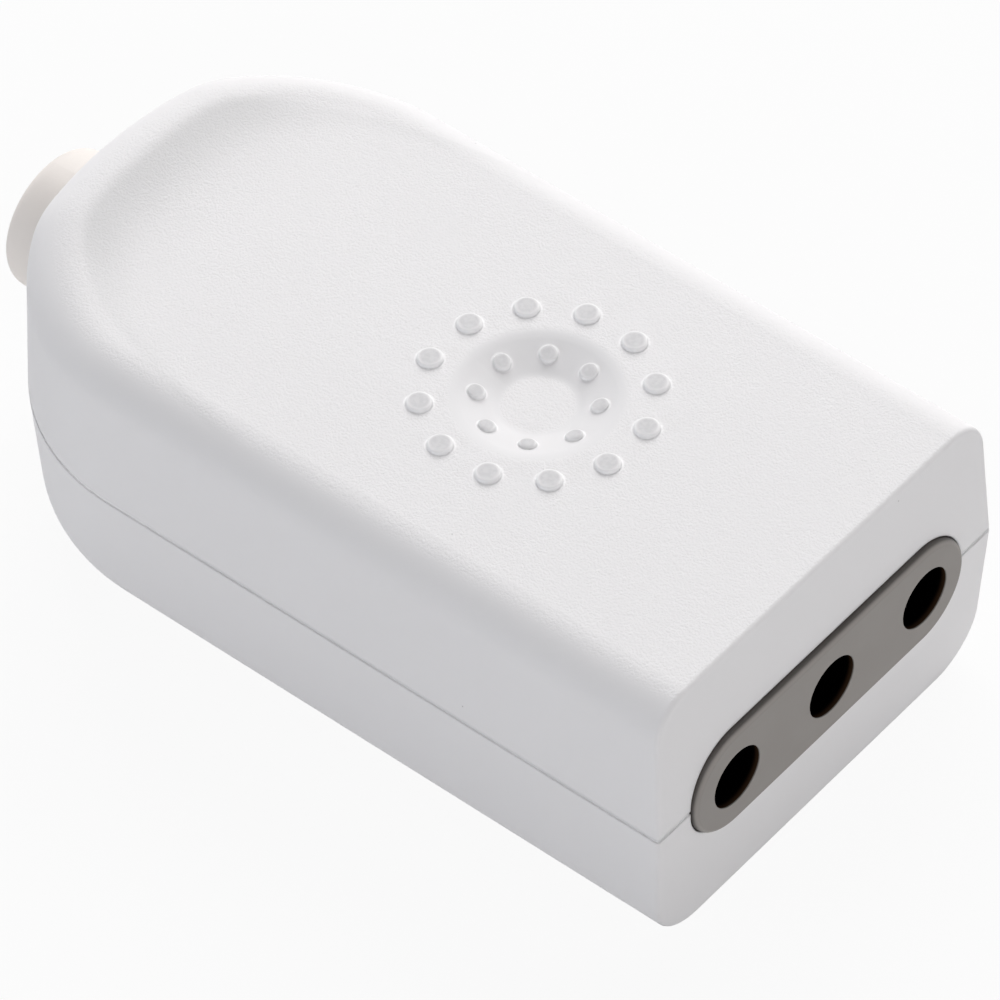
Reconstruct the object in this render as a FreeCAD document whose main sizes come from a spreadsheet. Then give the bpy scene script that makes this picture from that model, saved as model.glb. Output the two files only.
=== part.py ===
import FreeCAD, Part
import math
import os
import re

import Sketcher

# Rewireable in-line power socket.
# Every piece is drawn in the socket's frame: X across the pin holes, Y from the front
# face to the cable, Z up, with the origin on the front face at the parting plane, which
# is also the plane of the pin holes. Each piece's placement then moves the origin to the
# middle of the base.

# Driving dimensions, in millimetres and degrees
SIZES = {
    # outside of the two shells
    "body_length": 60.3,
    "upper_height": 11.0,
    "lower_height": 11.2,
    "upper_draft": 3.1,
    "lower_draft": 3.1,
    "flank_radius": 15.4,
    "flank_overlap": 0.5,
    "rear_radius": 36.6,
    "rear_corner": 8.5,
    "top_rounding": 3.1,
    "bottom_rounding": 4.2,
    "front_rounding": 0.3,
    # walls and the joint between the shells
    "wall": 1.9,
    "side_room": 0.15,
    "rib_thickness": 1.2,
    "groove_height": 0.3,
    "groove_depth": 0.12,
    "tongue_height": 1.2,
    "tongue_width": 0.8,
    "tongue_clearance": 0.1,
    "seat_clearance": 0.1,
    # raised lip across the back of the upper shell
    "cove_length": 10.2,
    "cove_share": 0.78,
    "crest_inset": 2.1,
    "crest_rise": 1.7,
    # grip dish and its two rings of dots
    "dish_position": 23.3,
    "dish_radius": 5.45,
    "dish_floor_radius": 2.55,
    "dish_depth": 1.0,
    "dish_rim_rounding": 2.7,
    "dish_floor_rounding": 1.5,
    "dot_turn": 15.0,
    "dot_rounding": 0.18,
    "outer_ring_radius": 7.5,
    "outer_dot_radius": 0.85,
    "outer_dot_height": 0.28,
    "inner_ring_radius": 3.95,
    "inner_dot_radius": 0.6,
    "inner_dot_height": 0.25,
    # grey block with the pin holes
    "pin_pitch": 9.5,
    "pin_hole_radius": 2.25,
    "face_radius": 4.1,
    "face_proud": 0.33,
    "face_clearance": 0.1,
    "face_rounding": 0.4,
    "face_thickness": 3.5,
    "flange_radius": 5.3,
    "flange_thickness": 2.0,
    "block_radius": 4.7,
    "block_depth": 17.0,
    "chamber_radius": 3.5,
    "collar_seat_depth": 2.4,
    "plate_thickness": 2.0,
    # brass contacts
    "sleeve_bore": 2.05,
    "sleeve_wall": 0.7,
    "sleeve_gap": 0.4,
    "slot_width": 0.6,
    "slot_length": 8.0,
    "collar_radius": 3.85,
    "neck_radius": 2.2,
    "neck_clearance": 0.15,
    "terminal_gap": 0.5,
    "terminal_side": 6.2,
    "terminal_length": 8.0,
    "wire_hole_radius": 1.6,
    "wire_hole_depth": 6.5,
    # spring rings round the sleeves
    "spring_inset": 2.0,
    "spring_width": 2.4,
    "spring_thickness": 0.4,
    "spring_groove": 0.2,
    "spring_gap": 1.0,
    "spring_clearance": 0.03,
    # screws
    "thread_clearance": 0.05,
    "driver_slot_width": 0.7,
    "driver_slot_depth": 0.6,
    "terminal_screw_radius": 1.5,
    "terminal_screw_length": 2.6,
    "terminal_head_radius": 2.3,
    "terminal_head_height": 1.5,
    "clamp_screw_radius": 1.4,
    "clamp_screw_length": 8.0,
    "clamp_head_radius": 2.4,
    "clamp_head_height": 1.5,
    "case_screw_radius": 1.5,
    "case_screw_length": 12.0,
    "case_head_radius": 2.8,
    "case_head_height": 2.0,
    "case_screw_spacing": 17.6,
    "case_boss_radius": 3.6,
    "case_boss_gap": 0.6,
    "case_head_depth": 6.0,
    "case_hole_clearance": 0.2,
    # cable clamp
    "clamp_gap": 2.7,
    "clamp_screw_spacing": 15.0,
    "clamp_bar_radius": 2.6,
    "clamp_bar_thickness": 2.0,
    "clamp_ridge_width": 1.6,
    "clamp_ridge_depth": 0.9,
    "clamp_boss_radius": 2.9,
    "clamp_boss_rise": 2.4,
    "saddle_width": 3.0,
    "saddle_depth": 1.2,
    # cable bush
    "cable_height": 0.68,
    "cable_radius": 3.5,
    "bush_base_radius": 5.35,
    "bush_tip_radius": 5.05,
    "bush_reach": 5.0,
    "bush_rounding": 1.0,
    "bush_clearance": 0.1,
    "bush_flange_radius": 6.7,
    "bush_flange_thickness": 1.8,
}
OUTER_DOTS = 12
INNER_DOTS = 8
FULL_TURN = 360

# Lengths worked out from the driving dimensions
HALF_WIDTH = "(pin_pitch + flange_radius + side_room + wall)"
FLANK_START = "(body_length - flank_radius + flank_overlap)"
CEILING = "(upper_height - wall)"
FLOOR = "(lower_height - wall)"
CREST_Y = "(body_length - crest_inset)"
CREST_HEIGHT = "(upper_height + crest_rise)"
COVE_START = f"({CREST_Y} - cove_length)"
DISH_STEEPNESS = "(dish_depth / (dish_radius - dish_floor_radius))"
DOT_FOOT = "-(wall - dish_depth) / 2"
FACE_BACK = "(face_thickness - face_proud)"
FLANGE_FRONT = "(wall + flange_radius * tan(lower_draft) + seat_clearance)"
FLANGE_BACK = f"({FLANGE_FRONT} + flange_thickness)"
PLATE_BACK = "(block_depth + plate_thickness)"
TERMINAL_FRONT = f"({PLATE_BACK} + seat_clearance + rib_thickness + terminal_gap)"
TERMINAL_BACK = f"({TERMINAL_FRONT} + terminal_length)"
TERMINAL_SCREW_Y = f"({TERMINAL_BACK} - wire_hole_depth / 2)"
COLLAR_SEAT_RADIUS = "(collar_radius + seat_clearance)"
SLEEVE_RADIUS = "(sleeve_bore + sleeve_wall)"
SLEEVE_TIP = f"({FACE_BACK} + sleeve_gap)"
SPRING_START = f"({SLEEVE_TIP} + spring_inset)"
SPRING_SEAT_RADIUS = f"({SLEEVE_RADIUS} - spring_groove)"
CASE_SCREW_X = "(case_screw_spacing / 2)"
CASE_SCREW_Y = f"({TERMINAL_BACK} + case_boss_gap + case_boss_radius)"
CASE_HEAD_SEAT = "(lower_height - case_head_depth)"
BUSH_WALL_BULGE = "(bush_flange_radius ^ 2 / (2 * (rear_radius - wall)))"
BUSH_FLANGE_BACK = (
    f"(body_length - wall - {BUSH_WALL_BULGE}"
    " - bush_flange_radius * tan(lower_draft) - seat_clearance)"
)
BUSH_FLANGE_FRONT = f"({BUSH_FLANGE_BACK} - bush_flange_thickness)"
BUSH_TAB_FRONT = f"({BUSH_FLANGE_FRONT} - seat_clearance - rib_thickness)"
BUSH_END = "(body_length + bush_reach)"
CLAMP_X = "(clamp_screw_spacing / 2)"
CLAMP_Y = f"({BUSH_TAB_FRONT} - clamp_gap - clamp_boss_radius)"
CLAMP_SEAT = "(cable_height + clamp_boss_rise)"
MIDDLE_Y = f"({BUSH_END} - face_proud) / 2"
MARGIN = "wall"

document = FreeCAD.newDocument("InlineSocket")
sheet = document.addObject("Spreadsheet::Sheet", "Sizes")
for row, (size_name, size) in enumerate(SIZES.items(), start=1):
    sheet.set(f"A{row}", size_name)
    sheet.set(f"B{row}", str(size))
    sheet.setAlias(f"B{row}", size_name)
document.recompute()


def formula(text):
    """A formula with its driving dimensions written as references to the sheet."""
    return re.sub(r"[a-z_]+", lambda word: f"Sizes.{word[0]}" if word[0] in SIZES else word[0], text)


def number(text):
    """The value of a formula at the present sizes."""
    return float(sheet.evalExpression(formula(text)))


# Sketches

def attach(item, support, offsets):
    """Lay a sketch or plane on a support, moved by offsets along the support's own directions."""
    item.AttachmentSupport = [(support, "")]
    item.MapMode = "FlatFace"
    for axis, offset in zip("xyz", offsets):
        item.setExpression(f"AttachmentOffset.Base.{axis}", formula(offset))


def swing(item, axis, angle):
    """Turn an attached sketch or plane about one of its support's own directions."""
    item.AttachmentOffset = FreeCAD.Placement(
        FreeCAD.Vector(), FreeCAD.Rotation(FreeCAD.Vector(*axis), number(angle)))
    item.setExpression("AttachmentOffset.Rotation.Angle", formula(angle))


def origin_plane(body, plane):
    return next(item for item in body.Origin.OriginFeatures if item.Role == f"{plane}_Plane")


def new_sketch(body, name, plane, x="0", y="0", z="0"):
    """A sketch on the body's XY, XZ or YZ plane, its origin moved to x, y, z."""
    sketch = body.newObject("Sketcher::SketchObject", name)
    offsets = {"XY": (x, y, z), "XZ": (x, z, f"-({y})"), "YZ": (y, z, x)}[plane]
    attach(sketch, origin_plane(body, plane), offsets)
    return sketch


def fix(sketch, kind, references, text):
    """Tie a measure of the sketch to a formula."""
    index = sketch.addConstraint(Sketcher.Constraint(kind, *references, number(text)))
    sketch.setExpression(f"Constraints[{index}]", formula(text))


def fix_point(sketch, geometry, end, x, y):
    fix(sketch, "DistanceX", (-1, 1, geometry, end), x)
    fix(sketch, "DistanceY", (-1, 1, geometry, end), y)


def join(sketch, kind, first, first_end, second, second_end):
    sketch.addConstraint(Sketcher.Constraint(kind, first, first_end, second, second_end))


def draw_line(sketch, start, end):
    return sketch.addGeometry(Part.LineSegment(FreeCAD.Vector(*start, 0), FreeCAD.Vector(*end, 0)))


def draw_arc(sketch, centre, radius, start_angle, end_angle):
    circle = Part.Circle(FreeCAD.Vector(*centre, 0), FreeCAD.Vector(0, 0, 1), radius)
    return sketch.addGeometry(Part.ArcOfCircle(circle, start_angle, end_angle))


def draw_polygon(sketch, points):
    """A closed outline through points, each a pair of formulas."""
    corners = [(number(x), number(y)) for x, y in points]
    lines = [draw_line(sketch, *pair) for pair in zip(corners, corners[1:] + corners[:1])]
    for line, following in zip(lines, lines[1:] + lines[:1]):
        join(sketch, "Coincident", line, 2, following, 1)
    for line, (x, y) in zip(lines, points):
        fix_point(sketch, line, 1, x, y)


def draw_rectangle(sketch, left, right, low, high):
    draw_polygon(sketch, [(left, low), (right, low), (right, high), (left, high)])


def draw_circle(sketch, x, y, radius):
    centre = FreeCAD.Vector(number(x), number(y), 0)
    circle = sketch.addGeometry(Part.Circle(centre, FreeCAD.Vector(0, 0, 1), number(radius)))
    fix_point(sketch, circle, 3, x, y)
    fix(sketch, "Radius", (circle,), radius)


def draw_stadium(sketch, reach, radius):
    """Two half circles, at reach to each side of the sketch's origin, joined by straight lines."""
    half, round_size = number(reach), number(radius)
    quarter = math.pi / 2
    right = draw_arc(sketch, (half, 0), round_size, -quarter, quarter)
    top = draw_line(sketch, (half, round_size), (-half, round_size))
    left = draw_arc(sketch, (-half, 0), round_size, quarter, 3 * quarter)
    bottom = draw_line(sketch, (-half, -round_size), (half, -round_size))
    loop = [right, top, left, bottom]
    for edge, following in zip(loop, loop[1:] + loop[:1]):
        join(sketch, "Tangent", edge, 2, following, 1)
    for arc, x in ((right, reach), (left, f"-({reach})")):
        fix_point(sketch, arc, 3, x, "0")
        fix(sketch, "Radius", (arc,), radius)


def draw_plan(sketch, inset):
    """The body's outline from above, moved inwards by inset.

    Straight front and sides, two flanks that curve in, a slightly bulging back and a
    corner arc between each flank and the back, all tangent.
    """
    half, start, depth = number(HALF_WIDTH), number(FLANK_START), number(inset)
    flank, rear, corner = number("flank_radius"), number("rear_radius"), number("rear_corner")
    flank_centre = FreeCAD.Vector(half - flank, start, 0)
    rear_centre = FreeCAD.Vector(0, number("body_length") - rear, 0)
    # the corner arc's centre lies on a circle about each of the other two centres
    span = rear_centre - flank_centre
    near, far = flank - corner, rear - corner
    along = (near ** 2 - far ** 2 + span.Length ** 2) / (2 * span.Length)
    beside = math.sqrt(near ** 2 - along ** 2)
    direction = span / span.Length
    corner_centre = flank_centre + direction * along + FreeCAD.Vector(-direction.y, direction.x, 0) * beside
    to_corner, to_rear = corner_centre - flank_centre, corner_centre - rear_centre
    flank_end = math.atan2(to_corner.y, to_corner.x)
    corner_end = math.atan2(to_rear.y, to_rear.x)
    side = half - depth

    front = draw_line(sketch, (-side, depth), (side, depth))
    right_side = draw_line(sketch, (side, depth), (side, start))
    right_flank = draw_arc(sketch, flank_centre[:2], flank - depth, 0, flank_end)
    right_corner = draw_arc(sketch, corner_centre[:2], corner - depth, flank_end, corner_end)
    back = draw_arc(sketch, rear_centre[:2], rear - depth, corner_end, math.pi - corner_end)
    mirrored_centre = (-corner_centre.x, corner_centre.y)
    left_corner = draw_arc(sketch, mirrored_centre, corner - depth, math.pi - corner_end, math.pi - flank_end)
    left_flank = draw_arc(sketch, (-flank_centre.x, start), flank - depth, math.pi - flank_end, math.pi)
    left_side = draw_line(sketch, (-side, start), (-side, depth))

    chain = [right_side, right_flank, right_corner, back, left_corner, left_flank, left_side]
    for edge, following in zip(chain, chain[1:]):
        join(sketch, "Tangent", edge, 2, following, 1)
    join(sketch, "Coincident", left_side, 2, front, 1)
    join(sketch, "Coincident", front, 2, right_side, 1)
    fix_point(sketch, front, 1, f"-({HALF_WIDTH} - ({inset}))", inset)
    fix_point(sketch, front, 2, f"{HALF_WIDTH} - ({inset})", inset)
    fix_point(sketch, right_side, 2, f"{HALF_WIDTH} - ({inset})", FLANK_START)
    fix_point(sketch, left_side, 1, f"-({HALF_WIDTH} - ({inset}))", FLANK_START)
    fix_point(sketch, back, 3, "0", "body_length - rear_radius")
    fix(sketch, "Radius", (back,), f"rear_radius - ({inset})")
    for arc in (right_flank, left_flank):
        fix(sketch, "Radius", (arc,), f"flank_radius - ({inset})")
    for arc in (right_corner, left_corner):
        fix(sketch, "Radius", (arc,), f"rear_corner - ({inset})")


# Features

def new_body(label):
    body = document.addObject("PartDesign::Body", label)
    body.Label = label
    return body


def place(piece, x="0"):
    """Move a finished piece so that the origin is at the middle of the base."""
    for axis, offset in zip("xyz", (x, f"-({MIDDLE_Y})", "lower_height")):
        piece.setExpression(f"Placement.Base.{axis}", formula(offset))


def extrude(kind, body, name, sketch, length, reverse, draft):
    before = body.Shape.Volume if body.Tip else 0
    feature = body.newObject(f"PartDesign::{kind}", name)
    feature.Profile = sketch
    feature.setExpression("Length", formula(length))
    feature.Reversed = reverse
    if draft:
        feature.setExpression("TaperAngle", formula(f"-({draft})"))
    document.recompute()
    if (body.Shape.Volume - before) * (1 if kind == "Pad" else -1) <= 0:
        raise ValueError(f"{body.Label}: {name} changes nothing")
    return feature


def pad(body, name, sketch, length, reverse=False, draft=None):
    """Grow along the sketch's normal: +Z, -Y or +X on the XY, XZ or YZ plane."""
    return extrude("Pad", body, name, sketch, length, reverse, draft)


def pocket(body, name, sketch, length, reverse=False, draft=None):
    """Cut against the sketch's normal: -Z, +Y or -X on the XY, XZ or YZ plane."""
    return extrude("Pocket", body, name, sketch, length, reverse, draft)


def cut_across(body, name, sketch):
    """Cut through the whole body, to both sides of the sketch."""
    before = body.Shape.Volume
    feature = body.newObject("PartDesign::Pocket", name)
    feature.Profile = sketch
    feature.Type = "ThroughAll"
    feature.SideType = "Symmetric"
    document.recompute()
    if body.Shape.Volume >= before:
        raise ValueError(f"{body.Label}: {name} cuts nothing")
    return feature


def turn(kind, body, name, sketch, axis):
    """Revolution or Groove of a sketch about its own H_Axis or V_Axis."""
    feature = body.newObject(f"PartDesign::{kind}", name)
    feature.Profile = sketch
    feature.ReferenceAxis = (sketch, [axis])
    feature.Angle = FULL_TURN
    document.recompute()
    return feature


def repeat_around(body, name, feature, axis_sketch, count):
    pattern = body.newObject("PartDesign::PolarPattern", name)
    pattern.Originals = [feature]
    pattern.Axis = (axis_sketch, ["V_Axis"])
    pattern.Angle = FULL_TURN
    pattern.Occurrences = count
    body.Tip = pattern
    document.recompute()


def pick_edges(shape, chosen):
    """Number and edge of those whose two faces, by their normals, pass the test chosen."""
    picked = []
    for index, edge in enumerate(shape.Edges, start=1):
        normals = [middle_normal(face) for face in shape.ancestorsOfType(edge, Part.Face)]
        if len(normals) == 2 and (chosen(edge, *normals) or chosen(edge, *reversed(normals))):
            picked.append((index, edge))
    return picked


def round_edges(body, name, radius, chosen):
    base = body.Tip
    feature = body.newObject("PartDesign::Fillet", name)
    feature.Base = (base, [f"Edge{index}" for index, edge in pick_edges(base.Shape, chosen)])
    feature.setExpression("Radius", formula(radius))
    document.recompute()


def middle_normal(face):
    first_u, last_u, first_v, last_v = face.ParameterRange
    return face.normalAt((first_u + last_u) / 2, (first_v + last_v) / 2)


NEARLY_ALONG = 0.9
NEARLY_UP = 0.7
NEARLY_ACROSS = 0.3
TOUCH = 1e-6


def is_wall(normal):
    return abs(normal.z) < NEARLY_ACROSS


def is_front(normal):
    return normal.y < -NEARLY_ALONG


def front_corner(edge, first, second):
    return is_front(first) and abs(second.x) > NEARLY_ALONG


# Features that both shells have

def open_front_and_back(body):
    """The opening round the grey block's face, and the hole round the cable bush."""
    opening = new_sketch(body, "FaceOpening", "XZ", y=f"-{MARGIN}")
    draw_stadium(opening, "pin_pitch", "face_radius + face_clearance")
    pocket(body, "FaceOpeningCut", opening, f"{FLANGE_FRONT} + {MARGIN}")
    hole = new_sketch(body, "BushHole", "XZ", y=BUSH_FLANGE_BACK)
    draw_circle(hole, "0", "cable_height", "bush_base_radius + bush_clearance")
    pocket(body, "BushHoleCut", hole, f"{BUSH_END} - {BUSH_FLANGE_BACK}")


def add_tab(body, name, front, half_width, edge, roof, upwards):
    """A plate across the inside, from edge to the shell's roof or floor, with its front face at front."""
    tab = new_sketch(body, name, "XY", z=edge if upwards else f"-({edge})")
    draw_rectangle(tab, f"-({half_width})", half_width, front, f"{front} + rib_thickness")
    pad(body, f"{name}Pad", tab, f"{roof} + wall / 2 - ({edge})", reverse=not upwards)


def add_tabs(body, roof, upwards):
    """Tabs that hold the block's flange, the retaining plate and the bush's flange in place."""
    block_edge = "block_radius + seat_clearance"
    add_tab(body, "FlangeTab", f"{FLANGE_BACK} + seat_clearance", "pin_pitch + face_radius", block_edge,
            roof, upwards)
    add_tab(body, "PlateTab", f"{PLATE_BACK} + seat_clearance", "pin_pitch + face_radius",
            "neck_radius + neck_clearance", roof, upwards)
    bush_edge = f"cable_radius {'+' if upwards else '-'} cable_height + bush_clearance"
    add_tab(body, "BushTab", BUSH_TAB_FRONT, "bush_flange_radius",
            bush_edge, roof, upwards)


# Upper shell

def make_upper_shell():
    body = new_body("upper_shell")
    outline = new_sketch(body, "Outline", "XY")
    draw_plan(outline, "0")
    pad(body, "Walls", outline, f"{CREST_HEIGHT} + {MARGIN}", draft="upper_draft")
    cut_across(body, "TopCut", draw_top_profile(body))

    def top_edge(edge, first, second):
        return first.z > NEARLY_UP and is_wall(second) and not is_front(second)

    round_edges(body, "TopRounding", "top_rounding", top_edge)
    round_edges(body, "FrontRounding", "front_rounding", front_corner)

    cavity = new_sketch(body, "Cavity", "XY")
    draw_plan(cavity, "wall")
    pocket(body, "CavityCut", cavity, CEILING, reverse=True, draft="upper_draft")
    rebate = new_sketch(body, "Rebate", "XY")
    draw_plan(rebate, "wall - tongue_width - tongue_clearance")
    pocket(body, "RebateCut", rebate, "tongue_height + tongue_clearance", reverse=True)
    groove = new_sketch(body, "PartingGroove", "XY")
    draw_plan(groove, f"-{MARGIN}")
    draw_plan(groove, "groove_depth")
    pocket(body, "PartingGrooveCut", groove, "groove_height", reverse=True)
    add_tabs(body, CEILING, upwards=True)
    open_front_and_back(body)

    bosses = new_sketch(body, "CaseBosses", "XY")
    holes = new_sketch(body, "PilotHoles", "XY")
    for x in (CASE_SCREW_X, f"-{CASE_SCREW_X}"):
        draw_circle(bosses, x, CASE_SCREW_Y, "case_boss_radius")
        draw_circle(holes, x, CASE_SCREW_Y, "case_screw_radius + thread_clearance")
    pad(body, "CaseBossesPad", bosses, f"{CEILING} + wall / 2")
    pilot_depth = f"case_screw_length - {CASE_HEAD_SEAT} + seat_clearance"
    pocket(body, "PilotHolesCut", holes, pilot_depth, reverse=True)

    make_grip(body)
    place(body)
    return body


def draw_top_profile(body):
    """Everything above the top: flat, then a cove that sweeps up and rounds over into the lip's crest."""
    profile = new_sketch(body, "TopProfile", "YZ")
    front, back = f"-{MARGIN}", f"body_length + {MARGIN}"
    roof = f"{CREST_HEIGHT} + 2 * {MARGIN}"
    front_y, back_y, roof_z = number(front), number(back), number(roof)
    start, crest = number(COVE_START), number(CREST_Y)
    flat, top = number("upper_height"), number(CREST_HEIGHT)
    length, rise, share = number("cove_length"), number("crest_rise"), number("cove_share")
    both_radii = (length ** 2 + rise ** 2) / (2 * rise)
    cove, brow = share * both_radii, (1 - share) * both_radii
    quarter, slope = math.pi / 2, math.asin(length / both_radii)

    flat_line = draw_line(profile, (front_y, flat), (start, flat))
    cove_arc = draw_arc(profile, (start, flat + cove), cove, -quarter, slope - quarter)
    brow_arc = draw_arc(profile, (crest, top - brow), brow, quarter, quarter + slope)
    crest_line = draw_line(profile, (crest, top), (back_y, top))
    back_line = draw_line(profile, (back_y, top), (back_y, roof_z))
    roof_line = draw_line(profile, (back_y, roof_z), (front_y, roof_z))
    front_line = draw_line(profile, (front_y, roof_z), (front_y, flat))

    join(profile, "Tangent", flat_line, 2, cove_arc, 1)
    join(profile, "Coincident", cove_arc, 2, brow_arc, 2)
    join(profile, "Tangent", brow_arc, 1, crest_line, 1)
    loop = [crest_line, back_line, roof_line, front_line, flat_line]
    for edge, following in zip(loop, loop[1:]):
        join(profile, "Coincident", edge, 2, following, 1)
    fix_point(profile, flat_line, 1, front, "upper_height")
    fix_point(profile, flat_line, 2, COVE_START, "upper_height")
    fix_point(profile, cove_arc, 2, f"{COVE_START} + cove_share * cove_length",
              "upper_height + cove_share * crest_rise")
    fix_point(profile, crest_line, 1, CREST_Y, CREST_HEIGHT)
    fix_point(profile, crest_line, 2, back, CREST_HEIGHT)
    fix_point(profile, back_line, 2, back, roof)
    fix_point(profile, roof_line, 2, front, roof)
    return profile


def make_grip(body):
    """A shallow dish in the top, a ring of flat dots round it and a ring of smaller ones on its slope."""
    dish = new_sketch(body, "Dish", "YZ", y="dish_position", z="upper_height")
    draw_polygon(dish, [
        ("0", "-dish_depth"),
        ("dish_floor_radius", "-dish_depth"),
        ("dish_radius", "0"),
        ("dish_radius", MARGIN),
        ("0", MARGIN),
    ])
    turn("Groove", body, "DishCut", dish, "V_Axis")
    round_edges(body, "DishRimRounding", "dish_rim_rounding", dish_edge("dish_radius"))
    round_edges(body, "DishFloorRounding", "dish_floor_rounding", dish_edge("dish_floor_radius"))

    plane = body.newObject("PartDesign::Plane", "DotPlane")
    swing(plane, (0, 1, 0), "-dot_turn")
    attach(plane, origin_plane(body, "YZ"), ("dish_position", "upper_height", "0"))
    slope_level = f"(inner_ring_radius - dish_radius) * {DISH_STEEPNESS}"
    rings = (
        ("Outer", "outer_ring_radius", "0", "0", "outer_dot_radius", "outer_dot_height", OUTER_DOTS),
        ("Inner", "inner_ring_radius", slope_level, f"atan({DISH_STEEPNESS})",
         "inner_dot_radius", "inner_dot_height", INNER_DOTS),
    )
    for name, reach, level, tilt, radius, height, count in rings:
        dot = body.newObject("Sketcher::SketchObject", f"{name}Dot")
        swing(dot, (0, 0, 1), tilt)
        attach(dot, plane, (reach, level, "0"))
        draw_dot(dot, radius, height)
        feature = turn("Revolution", body, f"{name}DotTurning", dot, "V_Axis")
        repeat_around(body, f"{name}Dots", feature, dish, count)


def dish_edge(radius):
    """A test for the round edge of that radius about the dish's axis."""
    size, middle = number(radius), number("dish_position")

    def chosen(edge, first, second):
        if not isinstance(edge.Curve, Part.Circle) or first.z < NEARLY_ALONG:
            return False
        return abs(edge.Curve.Radius - size) < TOUCH and abs(edge.Curve.Center.y - middle) < TOUCH

    return chosen


def draw_dot(sketch, radius, height):
    """Half section of a dot: straight sides from inside the wall, a rounded edge and a flat top."""
    side, base, top, edge = number(radius), number(DOT_FOOT), number(height), number("dot_rounding")
    floor_line = draw_line(sketch, (0, base), (side, base))
    side_line = draw_line(sketch, (side, base), (side, top - edge))
    edge_arc = draw_arc(sketch, (side - edge, top - edge), edge, 0, math.pi / 2)
    top_line = draw_line(sketch, (side - edge, top), (0, top))
    axis_line = draw_line(sketch, (0, top), (0, base))
    join(sketch, "Coincident", floor_line, 2, side_line, 1)
    join(sketch, "Tangent", side_line, 2, edge_arc, 1)
    join(sketch, "Tangent", edge_arc, 2, top_line, 1)
    join(sketch, "Coincident", top_line, 2, axis_line, 1)
    join(sketch, "Coincident", axis_line, 2, floor_line, 1)
    fix_point(sketch, floor_line, 1, "0", DOT_FOOT)
    fix_point(sketch, floor_line, 2, radius, DOT_FOOT)
    fix_point(sketch, top_line, 2, "0", height)
    fix_point(sketch, edge_arc, 3, f"{radius} - dot_rounding", f"{height} - dot_rounding")


# Lower shell

def make_lower_shell():
    body = new_body("lower_shell")
    outline = new_sketch(body, "Outline", "XY")
    draw_plan(outline, "0")
    pad(body, "Walls", outline, "lower_height", reverse=True, draft="lower_draft")

    def bottom_edge(edge, first, second):
        return first.z < -NEARLY_UP and is_wall(second) and not is_front(second)

    round_edges(body, "BottomRounding", "bottom_rounding", bottom_edge)
    round_edges(body, "FrontRounding", "front_rounding", front_corner)

    cavity = new_sketch(body, "Cavity", "XY")
    draw_plan(cavity, "wall")
    pocket(body, "CavityCut", cavity, FLOOR, draft="lower_draft")
    tongue = new_sketch(body, "Tongue", "XY")
    draw_plan(tongue, "wall - tongue_width")
    draw_plan(tongue, "wall")
    pad(body, "TonguePad", tongue, "tongue_height")
    add_tabs(body, FLOOR, upwards=False)
    open_front_and_back(body)
    add_case_bosses(body)
    add_clamp_bosses(body)
    place(body)
    return body


def add_case_bosses(body):
    """Bosses up to the parting plane, with a clearance hole and a deep seat for the screw's head."""
    bosses = new_sketch(body, "CaseBosses", "XY")
    holes = new_sketch(body, "CaseHoles", "XY")
    seats = new_sketch(body, "CaseHeadSeats", "XY", z=f"-{CASE_HEAD_SEAT}")
    for x in (CASE_SCREW_X, f"-{CASE_SCREW_X}"):
        draw_circle(bosses, x, CASE_SCREW_Y, "case_boss_radius")
        draw_circle(holes, x, CASE_SCREW_Y, "case_screw_radius + case_hole_clearance")
        draw_circle(seats, x, CASE_SCREW_Y, "case_head_radius + case_hole_clearance")
    pad(body, "CaseBossesPad", bosses, f"{FLOOR} + wall / 2", reverse=True)
    pocket(body, "CaseHolesCut", holes, "lower_height")
    pocket(body, "CaseHeadSeatsCut", seats, "case_head_depth")


def add_clamp_bosses(body):
    """Two bosses for the clamp's screws, and the saddle that the lead lies in between them."""
    saddle = new_sketch(body, "Saddle", "XY", z="cable_height - saddle_depth")
    draw_rectangle(saddle, f"-{CLAMP_X}", CLAMP_X,
                   f"{CLAMP_Y} - saddle_width / 2", f"{CLAMP_Y} + saddle_width / 2")
    pad(body, "SaddlePad", saddle, f"{FLOOR} + wall / 2 + cable_height - saddle_depth", reverse=True)
    notch = new_sketch(body, "SaddleNotch", "XZ", y=f"{CLAMP_Y} - saddle_width")
    draw_circle(notch, "0", "cable_height", "cable_radius")
    pocket(body, "SaddleNotchCut", notch, "2 * saddle_width")
    bosses = new_sketch(body, "ClampBosses", "XY", z=CLAMP_SEAT)
    holes = new_sketch(body, "ClampHoles", "XY", z=CLAMP_SEAT)
    for x in (CLAMP_X, f"-{CLAMP_X}"):
        draw_circle(bosses, x, CLAMP_Y, "clamp_boss_radius")
        draw_circle(holes, x, CLAMP_Y, "clamp_screw_radius + thread_clearance")
    pad(body, "ClampBossesPad", bosses, f"{CLAMP_SEAT} + {FLOOR} + wall / 2", reverse=True)
    pocket(body, "ClampHolesCut", holes, "clamp_screw_length")


# Grey block and the plate behind it

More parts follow.
